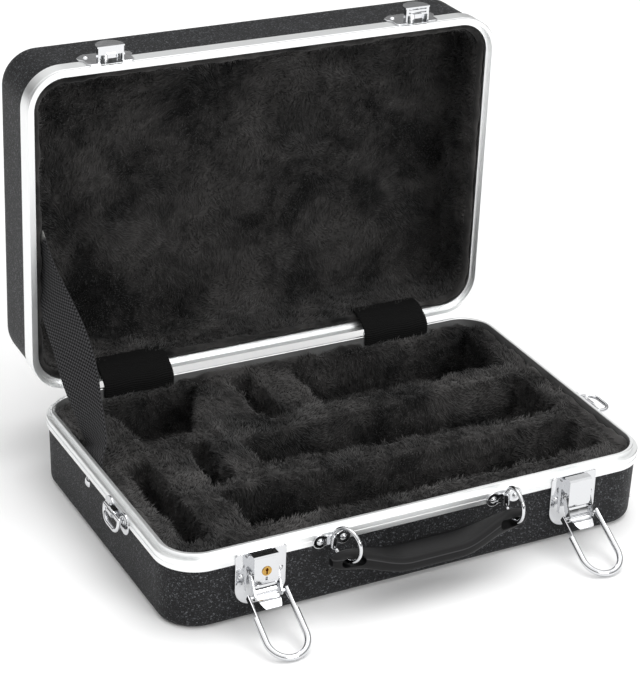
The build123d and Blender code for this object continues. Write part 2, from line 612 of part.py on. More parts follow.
# ---------------------------------------------------------------- assembly
def build():
    bottom_shell = make_bottom_shell()
    bottom_valance = make_bottom_valance()
    lid_shell, lid_valance = make_lid_shell(), make_lid_valance()
    solid_bottom = drafted(PARTING_Z - WEB_T, 0, BASE_EDGE, 0) + plan_prism(0, FLANGE_LOW_Z, PARTING_Z)
    solid_lid = drafted(PARTING_Z + 5.5, PARTING_Z + LID_DEPTH, LID_EDGE, 0)
    solid_lid += plan_prism(0, PARTING_Z, PARTING_Z + LID_FLANGE_H)

    fixed = {"bottom_shell": bottom_shell, "bottom_valance": bottom_valance}
    fixed.update(make_insert())
    rivets, bracket_rivets, pins = [], [], []
    for name, cx in zip(("left", "right"), LATCH_X):
        fixed[f"latch_plate_{name}"] = latch_plate(cx, solid_bottom)
        fixed[f"latch_housing_{name}"] = latch_housing(cx, name == "left")
        fixed[f"latch_lever_{name}"] = latch_lever(cx)
        fixed[f"latch_bail_{name}"] = latch_bail(cx)
        pins += [lever_pin(cx, -1), lever_pin(cx, 1)]
        for side in (-1, 1):
            rivets.append(plate_rivet(cx + side * LATCH_RIVET[0], FRONT - PLATE_T, LATCH_RIVET[1]))
    fixed["lever_pins"] = Compound(pins)
    fixed["latch_rivets"] = Compound(rivets)
    fixed["lock_cylinder"] = lock_cylinder()

    for name, px, turn in zip(("left", "right"), POST_X, RING_TURN):
        fixed[f"handle_bracket_{name}"] = handle_bracket(px, solid_bottom)
        fixed[f"handle_ring_{name}"] = handle_ring(px, turn)
        for side in (-1, 1):
            x = px + side * BRACKET_RIVET
            bracket_rivets.append(plate_rivet(x, FRONT - PLATE_T, 49.0, 2.6, 1.4))
    fixed["handle_grip"] = handle_grip()
    for name, side in (("left", -1), ("right", 1)):
        fixed[f"side_bracket_{name}"] = side_bracket(side, solid_bottom)
        fixed[f"side_ring_{name}"] = side_ring(side)
        for way in (-1, 1):
            spot = (side * (LENGTH / 2 + PLATE_T), SIDE_Y + way * SIDE_RIVET, 48.0)
            bracket_rivets.append(dome(spot, (side, 0, 0), 2.6, 1.4))
    fixed["bracket_rivets"] = Compound(bracket_rivets)

    lid = {"lid_shell": lid_shell, "lid_valance": lid_valance}
    lid.update(make_lid_padding())
    catch_rivets, leaf_rivets, lid_leaf_rivets, hinge_pins = [], [], [], []
    for name, cx in zip(("left", "right"), LATCH_X):
        lid[f"lid_catch_{name}"] = lid_catch(cx, name == "right", solid_lid)
        for side in (-1, 1):
            x, z = cx + side * CATCH_RIVET[0], PARTING_Z + CATCH_RIVET[1]
            catch_rivets.append(plate_rivet(x, FRONT - PLATE_T, z, 2.2, 1.2))
    for name, hx in zip(("left", "right"), HINGE_X):
        fixed[f"hinge_leaf_bottom_{name}"] = hinge_leaf(hx, False)
        lid[f"hinge_leaf_lid_{name}"] = hinge_leaf(hx, True)
        hinge_pins.append(hinge_pin(hx))
        for dx in (-15.0, 0.0, 15.0):
            leaf_rivets.append(dome((hx + dx, BACK + LEAF_T, PARTING_Z - 8.4), (0, 1, 0), 1.9, 1.0))
            lid_leaf_rivets.append(dome((hx + dx, BACK + LEAF_T, PARTING_Z + 8.4), (0, 1, 0), 1.9, 1.0))
        fixed[f"hinge_cover_{name}"] = hinge_cover(hx)
    fixed["hinge_pins"] = Compound(hinge_pins)
    fixed["hinge_rivets_bottom"] = Compound(leaf_rivets)
    lid["hinge_rivets_lid"] = Compound(lid_leaf_rivets)
    lid["catch_rivets"] = Compound(catch_rivets)
    fixed["stay_strap"] = stay_strap()
    fixed["strap_rivet"] = strap_rivet()
    fixed["bottom_shell"] = bottom_shell - strap_bore()
    return fixed, lid


def main():
    os.makedirs("parts", exist_ok=True)
    fixed, lid = build()
    for name, part in fixed.items():
        export_step(part, f"parts/{name}.step")
    for name, part in lid.items():
        export_step(turned_open(part), f"parts/{name}.step")


main()
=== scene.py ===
import math

import bmesh
import bpy
import numpy as np
from mathutils import Matrix, Vector, noise


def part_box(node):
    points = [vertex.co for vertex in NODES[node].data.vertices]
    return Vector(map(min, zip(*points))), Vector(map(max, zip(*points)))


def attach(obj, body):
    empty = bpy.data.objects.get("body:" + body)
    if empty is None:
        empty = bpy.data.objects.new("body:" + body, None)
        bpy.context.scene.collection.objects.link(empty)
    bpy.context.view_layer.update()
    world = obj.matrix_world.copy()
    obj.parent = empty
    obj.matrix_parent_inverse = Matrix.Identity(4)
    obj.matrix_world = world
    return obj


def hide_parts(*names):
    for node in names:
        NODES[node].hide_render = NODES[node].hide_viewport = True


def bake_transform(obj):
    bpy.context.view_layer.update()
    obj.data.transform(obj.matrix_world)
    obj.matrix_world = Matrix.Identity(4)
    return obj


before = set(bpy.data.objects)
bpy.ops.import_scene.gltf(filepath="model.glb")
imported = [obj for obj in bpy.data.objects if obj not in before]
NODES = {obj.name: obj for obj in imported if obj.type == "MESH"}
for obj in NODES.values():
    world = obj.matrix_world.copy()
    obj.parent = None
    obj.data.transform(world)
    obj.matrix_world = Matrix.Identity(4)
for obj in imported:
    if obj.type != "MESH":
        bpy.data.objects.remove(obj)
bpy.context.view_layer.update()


# ------------------------------------------------------------------ studio
# A pale sweep under a broad overhead softbox, with one more from the front. The camera stands
# where the photographer stood, in front of the case and to its left, looking down over the latches.
CAMERA_AT = (-0.69917, -1.27393, 0.85362)
CAMERA_TURN, CAMERA_DOWN, CAMERA_ROLL = (math.radians(a) for a in (-29.75, 25.29, 2.96))
ahead = Vector((-math.sin(CAMERA_TURN) * math.cos(CAMERA_DOWN),
                math.cos(CAMERA_TURN) * math.cos(CAMERA_DOWN), -math.sin(CAMERA_DOWN)))
level = ahead.cross(Vector((0, 0, 1))).normalized()
upright = level.cross(ahead)
across = level * math.cos(CAMERA_ROLL) + upright * math.sin(CAMERA_ROLL)
above = upright * math.cos(CAMERA_ROLL) - level * math.sin(CAMERA_ROLL)
turn = Matrix((across, above, -ahead)).transposed()
bpy.ops.object.camera_add(location=CAMERA_AT, rotation=turn.to_euler())
camera = bpy.context.object
camera.data.lens = 120.24
camera.data.sensor_width = 36.0
camera.data.shift_x = -0.0934
camera.data.shift_y = -0.0712
camera.data.clip_start = 0.05
bpy.context.scene.camera = camera


def linear(colour):
    """An sRGB hex colour as linear RGBA."""
    parts = [int(colour[i:i + 2], 16) / 255 for i in (1, 3, 5)]
    return [c / 12.92 if c <= 0.04045 else ((c + 0.055) / 1.055) ** 2.4 for c in parts] + [1.0]


def add_node(tree, kind, settings=None, **sockets):
    """Adds a shader node. A socket given another node's output is linked, and any other is set.
    A socket is named with _ for a space, or i and its number where several share a name."""
    made = tree.nodes.new(kind)
    for name, value in (settings or {}).items():
        setattr(made, name, value)
    for name, value in sockets.items():
        key = int(name[1:]) if name[0] == "i" and name[1:].isdigit() else name.replace("_", " ")
        socket = made.inputs[key]
        if isinstance(value, bpy.types.NodeSocket):
            tree.links.new(value, socket)
        else:
            socket.default_value = value
    return made


def new_material(name):
    """An empty material, and the node tree to fill."""
    made = bpy.data.materials.new(name)
    made.use_nodes = True
    made.node_tree.nodes.clear()
    return made, made.node_tree


def finish_material(tree, **sockets):
    """Ends a material's tree in one Principled shader with these sockets."""
    shader = add_node(tree, "ShaderNodeBsdfPrincipled", **sockets)
    add_node(tree, "ShaderNodeOutputMaterial", Surface=shader.outputs[0])


SWEEP_WIDE = 80  # metres, so that its edge shows in no view
bpy.ops.mesh.primitive_plane_add(size=SWEEP_WIDE, location=(0, 0, -0.0004))
floor = bpy.context.object
floor.name = "studio_floor"
floor_paint, tree = new_material("matt_white_sweep")
finish_material(tree, Base_Color=linear("#f9f9f9"), Roughness=0.9)
floor.data.materials.append(floor_paint)

# The room is bright overhead and dark near the horizon, which puts dark edges on the plated parts.
world = bpy.data.worlds.new("studio")
world.use_nodes = True
bpy.context.scene.world = world
tree = world.node_tree
tree.nodes.clear()
where = add_node(tree, "ShaderNodeTexCoord")
height = add_node(tree, "ShaderNodeSeparateXYZ", Vector=where.outputs["Generated"])
ramp = add_node(tree, "ShaderNodeValToRGB", Fac=height.outputs["Z"])
ramp.color_ramp.elements[0].color = (0.02, 0.02, 0.022, 1)
ramp.color_ramp.elements[1].color = (1.3, 1.3, 1.3, 1)
ramp.color_ramp.elements[1].position = 0.8
for at, grey in ((0.18, 0.15), (0.36, 0.32), (0.48, 0.85)):
    ramp.color_ramp.elements.new(at).color = (grey, grey, grey, 1)
backing = add_node(tree, "ShaderNodeBackground", Color=ramp.outputs["Color"], Strength=1.0)
add_node(tree, "ShaderNodeOutputWorld", Surface=backing.outputs[0])


def softbox(at, aim, size, power):
    """A rectangular lamp in metres and watts, turned to face a point."""
    bpy.ops.object.light_add(type="AREA", location=at)
    lamp = bpy.context.object
    lamp.data.shape = "RECTANGLE"
    lamp.data.size, lamp.data.size_y = size
    lamp.data.energy = power
    lamp.rotation_euler = (Vector(aim) - Vector(at)).to_track_quat("-Z", "Y").to_euler()


softbox((0.5, 0.2, 2.2), (0.0, 0.0, 0.1), (1.8, 1.4), 15)
softbox((0.5, -2.4, 1.1), (0.0, 0.1, 0.15), (1.4, 0.8), 24)
bpy.context.scene.view_settings.view_transform = "Standard"
bpy.ops.object.select_all(action="DESELECT")


# ------------------------------------------------------------------ moulded shells
# Two halves moulded in black ABS in a mould with a fine pebbled grain. The tops of some pebbles are
# painted as small pale specks, a painted highlight where they would catch the light, so the walls read as
# dark grey.
GRAIN = 0.0008  # nearly twice the real pebble, so that it shows
shell_plastic, tree = new_material("pebbled_black_abs")
spot = add_node(tree, "ShaderNodeTexCoord").outputs["Object"]
pebbles = add_node(tree, "ShaderNodeTexVoronoi", Vector=spot, Scale=1 / GRAIN)
glint = add_node(tree, "ShaderNodeSeparateColor", Color=pebbles.outputs["Color"])
tone = add_node(tree, "ShaderNodeValToRGB", Fac=glint.outputs["Red"])
tone.color_ramp.elements[0].position = 0.45
tone.color_ramp.elements[0].color = linear("#1e1e1f")
tone.color_ramp.elements[1].position = 1.0
tone.color_ramp.elements[1].color = linear("#5f6164")
# The palest stop paints some pebbles pale: painted glints where their tops would catch the light.
painted_glint = tone.color_ramp.elements.new(0.86)
painted_glint.color = linear("#2c2d2f")
dome = add_node(tree, "ShaderNodeMath", {"operation": "MULTIPLY"}, i0=pebbles.outputs["Distance"], i1=-1.0)
bump = add_node(tree, "ShaderNodeBump", Strength=0.7, Distance=0.0005, Height=dome.outputs[0])
finish_material(tree, Base_Color=tone.outputs["Color"], Roughness=0.5, IOR=1.5, Specular_IOR_Level=0.12,
                Normal=bump.outputs["Normal"])


def dress(names, material):
    """Gives CAD nodes their material."""
    for name in names:
        mesh = NODES[name].data
        mesh.materials.clear()
        mesh.materials.append(material)


dress(("bottom_shell", "lid_shell"), shell_plastic)


# ------------------------------------------------------------------ valances
# Extruded aluminium frames bent round each half and left bright. Drawing through the die leaves fine
# lines along the metal, which stretch the highlights.
LINE_APART, LINE_LONG = 1 / 1500, 1 / 9  # 0.7 and 110 mm: far coarser than die lines, so that they show
valance_metal, tree = new_material("bright_extruded_aluminium")
spot = add_node(tree, "ShaderNodeTexCoord").outputs["Object"]
stretch = add_node(tree, "ShaderNodeMapping", Vector=spot,
                   Scale=(1 / LINE_LONG, 1 / LINE_LONG, 1 / LINE_APART))
lines = add_node(tree, "ShaderNodeTexNoise", Vector=stretch.outputs["Vector"], Scale=1.0, Detail=2.0)
polish = add_node(tree, "ShaderNodeMapRange", Value=lines.outputs["Fac"], To_Min=0.30, To_Max=0.46)
bump = add_node(tree, "ShaderNodeBump", Strength=0.06, Distance=0.0001, Height=lines.outputs["Fac"])
finish_material(tree, Base_Color=linear("#f1f2f2"), Metallic=1.0, Roughness=polish.outputs["Result"],
                Normal=bump.outputs["Normal"])
dress(("bottom_valance", "lid_valance"), valance_metal)


# ------------------------------------------------------------------ plated hardware
# Pressed steel latches, catches, brackets and bent wire, polished and nickel plated, and riveted on.
# The plate mirrors the pale room with dark edges, and pressing leaves it not quite flat.
SMEAR, DENT = 1 / 240, 1 / 110  # about 4 mm across a handled patch and 9 mm across a shallow dent
chrome, tree = new_material("bright_nickel_plate")
spot = add_node(tree, "ShaderNodeTexCoord").outputs["Object"]
wear = add_node(tree, "ShaderNodeTexNoise", Vector=spot, Scale=1 / SMEAR, Detail=3.0)
polish = add_node(tree, "ShaderNodeMapRange", Value=wear.outputs["Fac"], From_Min=0.35, From_Max=0.65,
                  To_Min=0.05, To_Max=0.14)
dents = add_node(tree, "ShaderNodeTexNoise", Vector=spot, Scale=1 / DENT, Detail=1.0)
bump = add_node(tree, "ShaderNodeBump", Strength=0.35, Distance=0.0005, Height=dents.outputs["Fac"])
finish_material(tree, Base_Color=linear("#d3d4d6"), Metallic=1.0, Roughness=polish.outputs["Result"],
                Normal=bump.outputs["Normal"])
PLATED = ("latch_", "lid_catch", "handle_bracket", "handle_ring", "side_", "lever_pins", "bracket_rivets",
          "catch_rivets", "strap_rivet")
dress([n for n in NODES if n.startswith(PLATED)], chrome)

# The hinges are plain stampings, zinc plated, with a dull cloudy bloom.
BLOOM = 1 / 300  # clouds about 3 mm across
zinc, tree = new_material("zinc_plated_steel")
spot = add_node(tree, "ShaderNodeTexCoord").outputs["Object"]
bloom = add_node(tree, "ShaderNodeTexNoise", Vector=spot, Scale=1 / BLOOM, Detail=4.0)
tint = add_node(tree, "ShaderNodeValToRGB", Fac=bloom.outputs["Fac"])
tint.color_ramp.elements[0].position = 0.3
tint.color_ramp.elements[0].color = linear("#94969a")
tint.color_ramp.elements[1].position = 0.7
tint.color_ramp.elements[1].color = linear("#b9babb")
polish = add_node(tree, "ShaderNodeMapRange", Value=bloom.outputs["Fac"], To_Min=0.24, To_Max=0.46)
finish_material(tree, Base_Color=tint.outputs["Color"], Metallic=1.0, Roughness=polish.outputs["Result"])
dress([n for n in NODES if n.startswith("hinge_") and "cover" not in n], zinc)

# The key cylinder is turned from brass rod, which leaves fine rings round its axis, and has tarnished.
LOCK_X, LOCK_Z = -0.1258, 0.043
TURNED = 600.0  # rings 0.5 mm apart, since this texture's are pi / 10 apart: coarser, so that they show
TARNISH = 1 / 420  # about 2.4 mm across a patch
brass, tree = new_material("turned_brass")
spot = add_node(tree, "ShaderNodeTexCoord").outputs["Object"]
centred = add_node(tree, "ShaderNodeMapping", Vector=spot, Location=(-LOCK_X, 0.0, -LOCK_Z))
rings = add_node(tree, "ShaderNodeTexWave", {"wave_type": "RINGS", "rings_direction": "Y"},
                 Vector=centred.outputs["Vector"], Scale=TURNED, Distortion=0.6)
bump = add_node(tree, "ShaderNodeBump", Strength=0.15, Distance=0.0001, Height=rings.outputs["Fac"])
tarnish = add_node(tree, "ShaderNodeTexNoise", Vector=spot, Scale=1 / TARNISH, Detail=2.0)
tint = add_node(tree, "ShaderNodeMix", {"data_type": "RGBA"}, Factor=tarnish.outputs["Fac"],
                i6=linear("#ab8440"), i7=linear("#cfaa62"))
finish_material(tree, Base_Color=tint.outputs[2], Metallic=1.0, Roughness=0.22,
                Normal=bump.outputs["Normal"])
dress(("lock_cylinder",), brass)


# ------------------------------------------------------------------ handle grip
# Injection moulded in black nylon, with a slot at each end for its ring. The mould's halves leave a
# fine flash line along the grip, which rises with it from its waist to its ends. Its paleness is a painted
# highlight on the bead.
GRIP_X, WAIST, NECK = -0.00425, 0.019, 0.069  # its middle, and how far out the line starts and stops rising
FLASH_LOW, FLASH_HIGH, FLASH_HALF, FLASH_CORE = 0.0330, 0.0435, 0.00055, 0.0002
GRIT = 1 / 1400  # 0.7 mm: coarser than the mould's matt finish, so that it shows
grip_plastic, tree = new_material("moulded_black_nylon")
spot = add_node(tree, "ShaderNodeTexCoord").outputs["Object"]
grit = add_node(tree, "ShaderNodeTexNoise", Vector=spot, Scale=1 / GRIT, Detail=2.0)
bump = add_node(tree, "ShaderNodeBump", Strength=0.2, Distance=0.0002, Height=grit.outputs["Fac"])
place = add_node(tree, "ShaderNodeSeparateXYZ", Vector=spot)
off = add_node(tree, "ShaderNodeMath", {"operation": "ADD"}, i0=place.outputs["X"], i1=-GRIP_X)
off = add_node(tree, "ShaderNodeMath", {"operation": "ABSOLUTE"}, i0=off.outputs[0])
climb = add_node(tree, "ShaderNodeMapRange", {"interpolation_type": "SMOOTHSTEP"}, Value=off.outputs[0],
                 From_Min=WAIST, From_Max=NECK, To_Min=FLASH_LOW, To_Max=FLASH_HIGH)
gap = add_node(tree, "ShaderNodeMath", {"operation": "SUBTRACT"}, i0=place.outputs["Z"],
               i1=climb.outputs["Result"])
gap = add_node(tree, "ShaderNodeMath", {"operation": "ABSOLUTE"}, i0=gap.outputs[0])
# The flash line is real, but its pale colour is a painted highlight where its bead would catch the light.
flash_highlight = add_node(tree, "ShaderNodeMapRange", Value=gap.outputs[0], From_Min=FLASH_HALF, From_Max=FLASH_CORE)
tone = add_node(tree, "ShaderNodeMix", {"data_type": "RGBA"}, Factor=flash_highlight.outputs["Result"],
                i6=linear("#0a0a0b"), i7=linear("#343435"))
finish_material(tree, Base_Color=tone.outputs[2], Roughness=0.48, IOR=1.5, Specular_IOR_Level=0.2,
                Normal=bump.outputs["Normal"])
dress(("handle_grip",), grip_plastic)


# ------------------------------------------------------------------ foam
# Polyurethane blocks, cut and glued to a floor board, and a thin sheet glued under the lid's roof. A
# cut face is dull grey open cells. The plush hides all of it.
CELL = 1 / 900  # 1.1 mm, about twice the real cell, so that it shows
foam, tree = new_material("charcoal_polyurethane_foam")
spot = add_node(tree, "ShaderNodeTexCoord").outputs["Object"]
cells = add_node(tree, "ShaderNodeTexVoronoi", Vector=spot, Scale=1 / CELL)
bump = add_node(tree, "ShaderNodeBump", Strength=0.4, Distance=0.0004, Height=cells.outputs["Distance"])
finish_material(tree, Base_Color=linear("#2b2b2b"), Roughness=0.95, Normal=bump.outputs["Normal"])
FOAM_NODES = [n for n in NODES if n.startswith(("rail_", "divider_", "block_"))]
dress(FOAM_NODES + ["insert_floor", "lid_pad"], foam)


# ------------------------------------------------------------------ well lining
# Long-pile black plush glued over the foam insert, pushed into every well and turned up at the rim.
# Its pile is about 5 mm long and lies in brushed patches, painted lighter and darker in the colour: painted
# sheen, where the nap would catch the light by the way it leans.
SHEEN_PATCH = 1 / 17  # about 60 mm across a brushed patch
plush, tree = new_material("black_long_pile_plush")
spot = add_node(tree, "ShaderNodeTexCoord").outputs["Object"]
patches = add_node(tree, "ShaderNodeTexNoise", Vector=spot, Scale=1 / SHEEN_PATCH, Detail=7.0, Roughness=0.72,
                   Distortion=0.3)
# The patches' tone is painted sheen, not a change in the plush's own colour.
tone = add_node(tree, "ShaderNodeValToRGB", Fac=patches.outputs["Fac"])
tone.color_ramp.elements[0].position = 0.40
tone.color_ramp.elements[0].color = linear("#0a0a0a")
tone.color_ramp.elements[1].position = 0.61
tone.color_ramp.elements[1].color = linear("#575554")
# Tuft tips keep the tone, while their feet and the surface between are painted halfway to near black:
# painted shade deep in the pile.
height = add_node(tree, "ShaderNodeAttribute", {"attribute_name": "pile"})
depth = add_node(tree, "ShaderNodeMapRange", Value=height.outputs["Fac"], To_Min=0.5, To_Max=1.0)
shaded = add_node(tree, "ShaderNodeMix", {"data_type": "RGBA"}, Factor=depth.outputs["Result"],
                  i6=linear("#050505"), i7=tone.outputs["Color"])
finish_material(tree, Base_Color=shaded.outputs[2], Roughness=0.9, Specular_IOR_Level=0.12,
                Sheen_Weight=0.12, Sheen_Roughness=0.6)


def merged_copy(name, sources):
    """One mesh from copies of CAD nodes, merged, at the origin."""
    bpy.ops.object.select_all(action="DESELECT")
    built = bmesh.new()
    for source in sources:
        part = bmesh.new()
        part.from_mesh(NODES[source].data)
        bmesh.ops.remove_doubles(part, verts=part.verts, dist=0.00001)
        spare = bpy.data.meshes.new("spare")
        part.to_mesh(spare)
        part.free()
        built.from_mesh(spare)
        bpy.data.meshes.remove(spare)
    mesh = bpy.data.meshes.new(name)
    built.to_mesh(mesh)
    built.free()
    made = bpy.data.objects.new(name, mesh)
    bpy.context.scene.collection.objects.link(made)
    bpy.context.view_layer.objects.active = made
    made.select_set(True)
    return made


def apply_all(piece):
    """Applies a piece's modifiers in their order."""
    bpy.context.view_layer.objects.active = piece
    for modifier in list(piece.modifiers):
        bpy.ops.object.modifier_apply(modifier=modifier.name)


def voxelled(piece, grid):
    """Remeshes a piece in even faces, with what overlaps joined."""
    remesh = piece.modifiers.new("grid", "REMESH")
    remesh.mode = "VOXEL"
    remesh.voxel_size = grid
    apply_all(piece)


def softened(piece):
    """Rounds off the steps that the remesh leaves."""
    soften = piece.modifiers.new("soften", "SMOOTH")
    soften.factor, soften.iterations = 0.5, 3
    apply_all(piece)


LUMPS, TUSSOCKS = 55, 170  # to a metre: about 18 mm and 6 mm across


def napped(piece, depth, seed, low, high):
    """Pushes a surface in and out in soft lumps and tufts, as pile does, but not past its walls."""
    mesh = piece.data
    count = len(mesh.vertices)
    at = np.zeros(count * 3)
    mesh.vertices.foreach_get("co", at)
    at = at.reshape(-1, 3)
    out = np.zeros(count * 3)
    mesh.vertices.foreach_get("normal", out)
    out = out.reshape(-1, 3)
    shift = np.array([noise.noise(Vector(p) * LUMPS + Vector((seed, 0, 0)))
                      + noise.noise(Vector(p) * TUSSOCKS + Vector((0, seed, 0))) * 0.6 for p in at])
    at = np.clip(at + out * (shift * depth)[:, None], low, high)
    mesh.vertices.foreach_set("co", at.ravel())
    mesh.update()


TUFT_LONG, TUFT_WIDE = 0.0055, 0.0008  # several hairs in one, so that a tuft shows
TUFT_AREA = 0.0014 ** 2
TUFT_ROOT = 0.0004  # how deep a tuft starts, so that no gap shows under it
SWIRLS, FLICKS = 22, 95  # to a metre: the brushed lie changes over about 45 mm, and a little over 10 mm
STAND, STRAY = 0.42, 0.08  # how upright the pile is, and how far single tufts stray
noise.seed_set(1)  # without a seed, noise_vector starts from the clock


def pile(piece, shows, seed):
    """Stands tapered tufts all over a piece where it shows, leaning together in brushed patches."""
    mesh = piece.data
    mesh.calc_loop_triangles()
    corners = np.array([mesh.vertices[v].co for t in mesh.loop_triangles for v in t.vertices])
    corners = corners.reshape(-1, 3, 3)
    cross = np.cross(corners[:, 1] - corners[:, 0], corners[:, 2] - corners[:, 0])
    area = np.linalg.norm(cross, axis=1) / 2
    chance = np.random.RandomState(seed)
    pick = chance.choice(len(area), int(area.sum() / TUFT_AREA), p=area / area.sum())
    mix = chance.dirichlet((1, 1, 1), len(pick))
    root = (corners[pick] * mix[:, :, None]).sum(axis=1)
    up = cross[pick] / (2 * area[pick])[:, None]
    keep = shows(root)
    root, up = root[keep], up[keep]
    brushed = np.array([noise.noise_vector(Vector(p) * SWIRLS + Vector((seed, 0, 0))) * 1.5
                        + noise.noise_vector(Vector(p) * FLICKS) * 0.8 for p in root])
    brushed -= up * (brushed * up).sum(axis=1)[:, None]
    lean = up * STAND + brushed + chance.normal(0, STRAY, root.shape)
    lean /= np.linalg.norm(lean, axis=1)[:, None]
    tall = TUFT_LONG * chance.uniform(0.6, 1.1, len(root))
    side = np.cross(lean, chance.normal(0, 1, root.shape))
    side /= np.linalg.norm(side, axis=1)[:, None]
    other = np.cross(lean, side)
    foot = root - up * TUFT_ROOT
    ring = [foot + (side * math.cos(a) + other * math.sin(a)) * TUFT_WIDE / 2
            for a in (0.0, 2.094, 4.189)]
    points = np.stack(ring + [root + lean * tall[:, None]], axis=1).reshape(-1, 3)
    base = len(mesh.vertices)
    old = np.zeros(base * 3)
    mesh.vertices.foreach_get("co", old)
    first = base + 4 * np.arange(len(root))[:, None, None]
    tufts = (first + np.array(((0, 1, 3), (1, 2, 3), (2, 0, 3), (0, 2, 1)))[None]).reshape(-1, 3)
    faces = [tuple(f.vertices) for f in mesh.polygons] + tufts.tolist()
    grown = bpy.data.meshes.new(piece.name)
    grown.from_pydata(np.concatenate([old.reshape(-1, 3), points]).tolist(), [], faces)
    # Marks each tuft's tip 1 and all else 0, for the plush's painted shade deep in the pile.
    heights = np.zeros(len(grown.vertices), np.float32)
    heights[base + 3::4] = 1.0
    grown.attributes.new("pile", "FLOAT", "POINT").data.foreach_set("value", heights)
    grown.polygons.foreach_set("use_smooth", [True] * len(grown.polygons))
    grown.materials.append(plush)
    piece.data = grown


WELL_GRID = 0.0017
WELL_UNDER = 0.0105  # just below the wells' floors: what is lower is foam that never shows
WELL_TOP = 0.0525  # as high as the plush stands on the insert, clear of the lid's frame when closed
well_pile = merged_copy("well_pile", FOAM_NODES + ["well_lining"])
voxelled(well_pile, WELL_GRID)
trim = bmesh.new()
trim.from_mesh(well_pile.data)
cut = bmesh.ops.bisect_plane(trim, geom=trim.verts[:] + trim.edges[:] + trim.faces[:],
                             plane_co=(0, 0, WELL_UNDER), plane_no=(0, 0, 1), clear_inner=True)
edges = [e for e in cut["geom_cut"] if isinstance(e, bmesh.types.BMEdge)]
bmesh.ops.holes_fill(trim, edges=edges)
trim.to_mesh(well_pile.data)
trim.free()
softened(well_pile)
low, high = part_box("well_lining")
napped(well_pile, 0.0022, 3.1, (low[0], low[1], 0), (high[0], high[1], WELL_TOP))

# Along the frame the plush turns up, except at the hinge covers and at the stay strap.
RIM_WIDE, RIM_RISE, RIM_FROM, RIM_FULL = 0.010, 0.0045, 0.046, 0.003
COVER_X, COVER_CLEAR, COVER_FROM = 0.110, 0.032, 0.09
STAY_X, STAY_Y, STAY_CLEAR = -0.165, 0.022, 0.038
heap = np.zeros(len(well_pile.data.vertices) * 3)
well_pile.data.vertices.foreach_get("co", heap)
heap = heap.reshape(-1, 3)
inward = np.minimum(high[0] - abs(heap[:, 0]), high[1] - abs(heap[:, 1]))
rolled = np.clip(1 - inward / RIM_WIDE, 0, 1) * np.clip((heap[:, 2] - RIM_FROM) / RIM_FULL, 0, 1)
covers = (heap[:, 1] > COVER_FROM) & (abs(abs(heap[:, 0]) - COVER_X) < COVER_CLEAR)
stay = (heap[:, 0] < STAY_X) & (abs(heap[:, 1] - STAY_Y) < STAY_CLEAR)
heap[:, 2] += RIM_RISE * np.where(covers | stay, 0, rolled * rolled * (3 - 2 * rolled))
well_pile.data.vertices.foreach_set("co", heap.ravel())


WELL_CLEAR_X, WELL_CLEAR_Y = 0.1815, 0.1165


def well_shows(at):
    """True for roots clear of the frame round the insert, of its underside and of the turned up rim."""
    return ((abs(at[:, 0]) < WELL_CLEAR_X) & (abs(at[:, 1]) < WELL_CLEAR_Y) & (at[:, 2] > 0.0115)
            & (at[:, 2] < 0.0535))


pile(well_pile, well_shows, 5)
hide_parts("well_lining")
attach(well_pile, "base")


# ------------------------------------------------------------------ lid lining
# The same plush glued to the lid's walls and over the thin sheet of foam under its roof.
LID_GRID = 0.0019
LID_BACK, LID_RIM = 0.0025, 0.0055  # clear of the shell behind, and of the bottom when closed
lid_pile = merged_copy("lid_pile", ["lid_lining"])
voxelled(lid_pile, LID_GRID)
softened(lid_pile)
low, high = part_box("lid_lining")
napped(lid_pile, 0.0018, 7.7, low, high)


def lid_shows(at):
    """True for roots clear of the shell behind the lining and of the lid's rim."""
    return ((abs(at[:, 0]) < high[0] - LID_BACK) & (at[:, 1] > low[1] + LID_RIM)
            & (at[:, 1] < high[1] - LID_BACK) & (at[:, 2] > low[2] + LID_BACK)
            & (at[:, 2] < high[2] - LID_BACK))


pile(lid_pile, lid_shows, 9)
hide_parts("lid_lining")
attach(lid_pile, "lid")


# ------------------------------------------------------------------ hinge covers
# Black polypropylene webbing, ribbed along the hinge, glued inside over each hinge gap so that the
# plush of both halves joins up. It puffs out a little between its two glued edges.
THREAD = 1 / 1500  # 0.7 mm: coarser than the real thread, so that it shows
cover_webbing, tree = new_material("ribbed_black_webbing")
weave = add_node(tree, "ShaderNodeUVMap", {"uv_map": "weave"}).outputs["UV"]
thread = add_node(tree, "ShaderNodeTexNoise", Vector=weave, Scale=1 / THREAD, Detail=2.0)
tone = add_node(tree, "ShaderNodeValToRGB", Fac=thread.outputs["Fac"])
tone.color_ramp.elements[0].position = 0.3
tone.color_ramp.elements[0].color = linear("#050505")
tone.color_ramp.elements[1].position = 0.75
tone.color_ramp.elements[1].color = linear("#151515")
bump = add_node(tree, "ShaderNodeBump", Strength=0.5, Distance=0.0003, Height=thread.outputs["Fac"])
finish_material(tree, Base_Color=tone.outputs["Color"], Roughness=0.85, Specular_IOR_Level=0.15,
                Normal=bump.outputs["Normal"])


def smooth_line(points, count):
    """A Catmull-Rom line through the points, in equal steps from one to the next."""
    knots = np.array([points[0]] + list(points) + [points[-1]], float)
    line = []
    for step in np.linspace(0, len(points) - 1, count):
        i = min(int(step), len(points) - 2)
        f = step - i
        a, b, c, d = knots[i:i + 4]
        line.append(0.5 * (2 * b + (c - a) * f + (2 * a - 5 * b + 4 * c - d) * f ** 2
                           + (3 * b - a - 3 * c + d) * f ** 3))
    return np.array(line)


SELVEDGE = 0.35  # the thickness of the very edge, as a share of the whole


